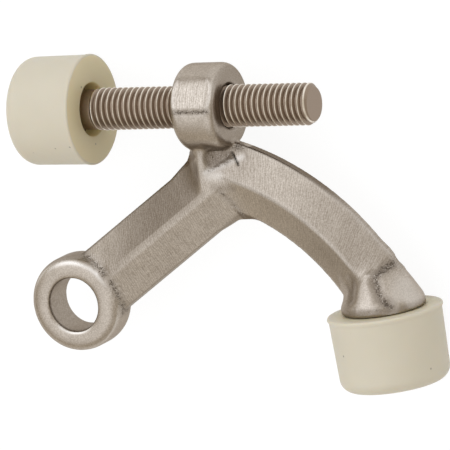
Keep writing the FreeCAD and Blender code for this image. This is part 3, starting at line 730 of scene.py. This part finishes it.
def mark_finish(points, sides, normals, foot_rise, marks):
    """Adds where the casting is brushed, its painted shade, and its rubbed edges and painted highlights to
    its marks.
    """
    x, y, z = points.T
    flat_turn, flat_distance = radians(28), 5.7
    flat_reach = (y - STUD_Y) * sin(flat_turn) + z * cos(flat_turn)
    boss_reach, boss_bottom = 6.6, 22.4
    on_boss = (np.hypot(y - STUD_Y, z) < boss_reach) & (y > boss_bottom)
    on_flat = on_boss & (flat_reach > flat_distance)
    crotch, across_crotch = (25.7, 16.74), (0.883, 0.469)
    on_curve = soft_step((points[:, :2] - crotch) @ np.array(across_crotch), -1.0, 1.0)
    from_eye = np.hypot(x, y)
    on_eye = 1 - soft_step(from_eye, 6.9, 7.6)
    at_foot = (1 - soft_step(foot_rise, 3.5, 7)) * (x > FOOT_SIDE)
    on_arms = (1 - on_boss) * (1 - on_eye) * (1 - at_foot)

    from_arm = -x * sin(ARM_ANGLE) + y * cos(ARM_ANGLE)
    from_curve = np.hypot(x - CURVE_X, y - CURVE_Y) - CURVE_RADIUS
    arm_crest = soft_line(line_distance(sides, ARM_CREST), 0.5)
    arm_rim = soft_step(np.abs(from_arm), 4.75, 5.15) * np.where(from_arm > 0, 1.0, 0.5)
    curve_rim = soft_step(np.abs(from_curve), 4.6, 4.95) * (1 - soft_step(x, 41, 48))
    curve_crest = soft_line(from_curve, 0.16) * soft_step(x, 26, 28) * (1 - soft_step(x, 38, 46))
    curve_top = soft_step(from_curve, 0.1, 0.4) * (1 - soft_step(x, 29, 35))
    up_the_arm = normals @ np.array((-sin(ARM_ANGLE), cos(ARM_ANGLE), 0))
    upper_facet = soft_step(up_the_arm, 0.2, 0.4) * (1 - on_curve) * (1 - on_boss)
    eye_top = on_eye * soft_step(normals[:, 1], 0.4, 0.8) * (from_eye > 6.6)
    # Painted shade: the upper facet darker towards the neck, dark reflections on the side lands and the
    # curved crest, the curved arm darker towards the foot and by the boss, the foot's band by the bumper,
    # the bore, the pocket under the boss, the boss's face towards +X, the eye's upper side and the hollows.
    shade_marks = [
        0.55 * upper_facet * soft_step(x, 3, 15),
        0.75 * np.where(on_curve > 0.5, curve_rim, arm_rim) * on_arms,
        0.4 * curve_crest * on_curve,
        0.2 * on_curve * soft_step(x, 34, 46) * on_arms,
        0.2 * on_curve * curve_top * (1 - on_boss),
        0.4 * at_foot * (1 - soft_step(foot_rise, 0.6, 1.6)),
        0.25 * (from_eye < 4.05),
        0.6 * marks["pocket"] * (1 - on_boss),
        0.3 * on_boss * soft_step(normals[:, 0], 0.6, 0.9),
        0.35 * eye_top,
        0.2 * marks["hollow_shade"],
    ]
    # Painted shade along the arm's crest, under the tongue, in the foot's crease and hollow, and on the
    # boss's flat.
    shade_marks += [line_mark(sides, *shade_line) for shade_line in SHADE_LINES]
    shade_marks += [line_mark(points, *shade_line) for shade_line in SHADE_ON_FLAT]

    # Painted highlights on the bore's lower front edge, the eye's upper front rim and the foot's right
    # cheek, and along the pocket's edge and the tongue.
    bore_edge = soft_line(from_eye - 4.15, 0.2) * (z > 2.5) * soft_step(-y, 2.5, 3.6)
    eye_edge = soft_line(from_eye - 6.35, 0.28) * (z > 1.5) * soft_step(y, 2.0, 4.5)
    foot_cheek = 0.35 * at_foot * soft_step(x, 51.5, 53)
    polish_and_highlight_marks = [marks["rub_and_highlight"] * (1 - arm_crest), bore_edge, eye_edge, foot_cheek]
    polish_and_highlight_marks += [line_mark(sides, *rub_and_highlight) for rub_and_highlight in HIGHLIGHT_LINES]

    flat_brush, boss_brush = 1.0, 0.15
    arm_brush = 1 - 0.8 * on_eye - 0.85 * at_foot
    marks["brush"] = np.select([on_flat, on_boss], [flat_brush, boss_brush], arm_brush)
    marks["on_boss"] = on_boss
    marks["on_curve"] = on_curve
    marks["painted_shade"] = np.max(shade_marks, axis=0)
    marks["polish_and_highlight"] = np.max(polish_and_highlight_marks, axis=0)


def make_casting(material):
    # Keeps the casting under 200,000 triangles
    voxel = 0.21 * MM
    mesh = evaluated(
        casting_blank(),
        ("REMESH", {"mode": "VOXEL", "voxel_size": voxel, "use_smooth_shade": True}, {}),
        ("SMOOTH", {"factor": 0.5, "iterations": 5}, {}),
    )
    points = read(mesh.vertices, "co", np.float32, 3).astype(float) / MM
    edges = read(mesh.edges, "vertices", np.int32, 2)
    quads = read(mesh.loops, "vertex_index", np.int32, 4)
    foot_rise = (points - (FOOT_X, FOOT_Y, 0)) @ np.array(FOOT_AXIS)
    above_foot = ((foot_rise > FOOT_LIP) | (points[:, 0] < FOOT_SIDE)).astype(float)
    points = fillet_casting(points, edges, quads, above_foot)

    normals = point_normals(points, quads)
    sides = points * (1, 1, 0) + np.abs(points) * (0, 0, 1)
    hollow = hollow_depth(points, edges, normals)
    # Bulges are rubbed bright, as wear and as painted highlight; hollows are darkened as painted shade.
    marks = {"rub_and_highlight": soft_step(-hollow, 0.006, 0.02), "hollow_shade": soft_step(hollow, 0.001, 0.008)}
    spread_rounds = 4
    for name in ("rub_and_highlight", "hollow_shade"):
        for _ in range(spread_rounds):
            marks[name] = neighbour_mean(marks[name], edges)
    under_boss = normals[:, 1] < 0.8
    marks["pocket"] = soft_step(inside_distance(points, POCKET), -0.5, 0.5) * under_boss
    marks["crack"] = 1 - soft_step(line_distance(points, CRACK), 0.03, 0.22)
    pocket_roughness = 0.6
    rough = [pocket_roughness * marks["pocket"]]
    for line, radius, strength in ROUGH_AND_SHADE_PATCHES:
        rough.append(strength * (1 - soft_step(line_distance(sides, line), 0.0, radius)))
    marks["rough_cast_and_shade"] = np.max(rough, axis=0)
    points = points - normals * (cast_depth(points, sides, marks) * above_foot)[:, None]
    ream(points, axis=2, centre=(0, 0), radius=EYE_BORE, low=-2.2, high=2.2)
    ream(points, axis=0, centre=(STUD_Y, 0), radius=STUD_HOLE, low=21.8, high=27.9)
    mesh.vertices.foreach_set("co", (points * MM).astype(np.float32).ravel())
    mesh.update()
    mark_finish(points, sides, normals, foot_rise, marks)
    for name in CASTING_MARKS:
        add_attribute(mesh, name, marks[name])
    add_object("casting", mesh, material, "stop", "stop_body")


# Camera, light and floor

def make_camera():
    """Camera along the photograph's view; its long lens gives the photograph's lack of perspective."""
    # The photograph's right and up in the object's own directions
    right = Vector((0.88443, -0.12172, -0.45051)).normalized()
    back = right.cross(Vector((0.01621, 0.97282, -0.23101))).normalized()
    up = back.cross(right)
    target = Vector((24.97, 10.85, 0)) * MM
    distance = 1295 * MM
    camera = bpy.data.cameras.new("camera")
    camera.lens = 720
    camera.sensor_width = 36
    camera.clip_end = 10
    holder = bpy.data.objects.new("camera", camera)
    place = Matrix((right, up, back)).transposed().to_4x4()
    place.translation = target + back * distance
    holder.matrix_world = place
    bpy.context.scene.collection.objects.link(holder)
    bpy.context.scene.camera = holder


def make_floor():
    """White table that takes the object's shadow; camera and metal see it a little whiter than it is lit."""
    material, tree = new_material("white_table")
    path = node(tree, "ShaderNodeLightPath").outputs
    seen = node(tree, MATH, (path["Is Camera Ray"], path["Is Glossy Ray"]), operation="MAXIMUM")
    seen = node(tree, MATH, (seen, path["Is Transmission Ray"]), operation="MAXIMUM")
    table = node(tree, "ShaderNodeBsdfDiffuse", {"Color": linear("#e6e6e6")})
    shade = node(tree, "ShaderNodeBsdfDiffuse", {"Color": linear("#6c6c6c")})
    glow = node(tree, "ShaderNodeEmission", {"Color": linear("#ffffff"), "Strength": 0.9})
    white = node(tree, "ShaderNodeAddShader", (shade, glow))
    mixed = node(tree, "ShaderNodeMixShader", (seen, table, white))
    node(tree, "ShaderNodeOutputMaterial", {"Surface": mixed})
    mesh = bpy.data.meshes.new("table")
    reach = 600 * MM
    clearance = 0.05 * MM
    height = cad_box[0][2] - clearance
    corners = [(x * reach, y * reach, height) for x, y in ((-1, -1), (1, -1), (1, 1), (-1, 1))]
    mesh.from_pydata(corners, [], [(0, 1, 2, 3)])
    mesh.materials.append(material)
    floor = bpy.data.objects.new("table", mesh)
    bpy.context.scene.collection.objects.link(floor)


def make_world():
    """Studio all round: a ceiling, a cool softbox high at the upper left, and weaker panels."""
    world = bpy.data.worlds.new("studio")
    bpy.context.scene.world = world
    world.use_nodes = True
    tree = world.node_tree
    tree.nodes.clear()
    way = node(tree, "ShaderNodeTexCoord").outputs["Generated"]
    # Direction, the cosines between which each light grows, and its level at each
    lights = {
        "ceiling": ((0, 0, 1), 0.35, 1.0, 0.0, 0.85),
        "photographer": ((0.466, 0.197, 0.862), 0.9, 1.0, 1.0, 0.3),
        "softbox": ((-0.55, 0.63, 0.55), 0.86, 0.99, 0.0, 1.1),
        "panel": ((0.15, 0.95, 0.3), 0.6, 1.0, 0.0, 0.35),
        "card": ((0.66, 0.74, 0.12), 0.85, 1.0, 0.0, 0.4),
        "room": ((-0.55, -0.83, 0.2), 0.93, 1.0, 0.6, 0.75),
    }
    levels = {}
    for name, (direction, *growth) in lights.items():
        aim = Vector(direction).normalized()
        facing = node(tree, VECTOR, (way, aim), operation="DOT_PRODUCT")
        levels[name] = node(tree, RANGE, (facing, *growth), **SMOOTH)
    lamps = node(tree, MATH, (levels["ceiling"], levels["photographer"]), operation="MULTIPLY")
    for name in ("softbox", "panel", "card"):
        lamps = node(tree, MATH, (lamps, levels[name]), operation="ADD")
    room = node(tree, "ShaderNodeBackground", {"Color": linear("#fff5e4"), "Strength": levels["room"]})
    key = node(tree, "ShaderNodeBackground", {"Color": linear("#e6f0ff"), "Strength": lamps})
    both = node(tree, "ShaderNodeAddShader", (room, key))
    node(tree, "ShaderNodeOutputWorld", {"Surface": both})


make_casting(satin_nickel())
make_bumpers(cream_rubber())
make_stud(rolled_nickel())

bpy.context.scene.view_settings.view_transform = "Standard"
make_camera()
make_world()
make_floor()
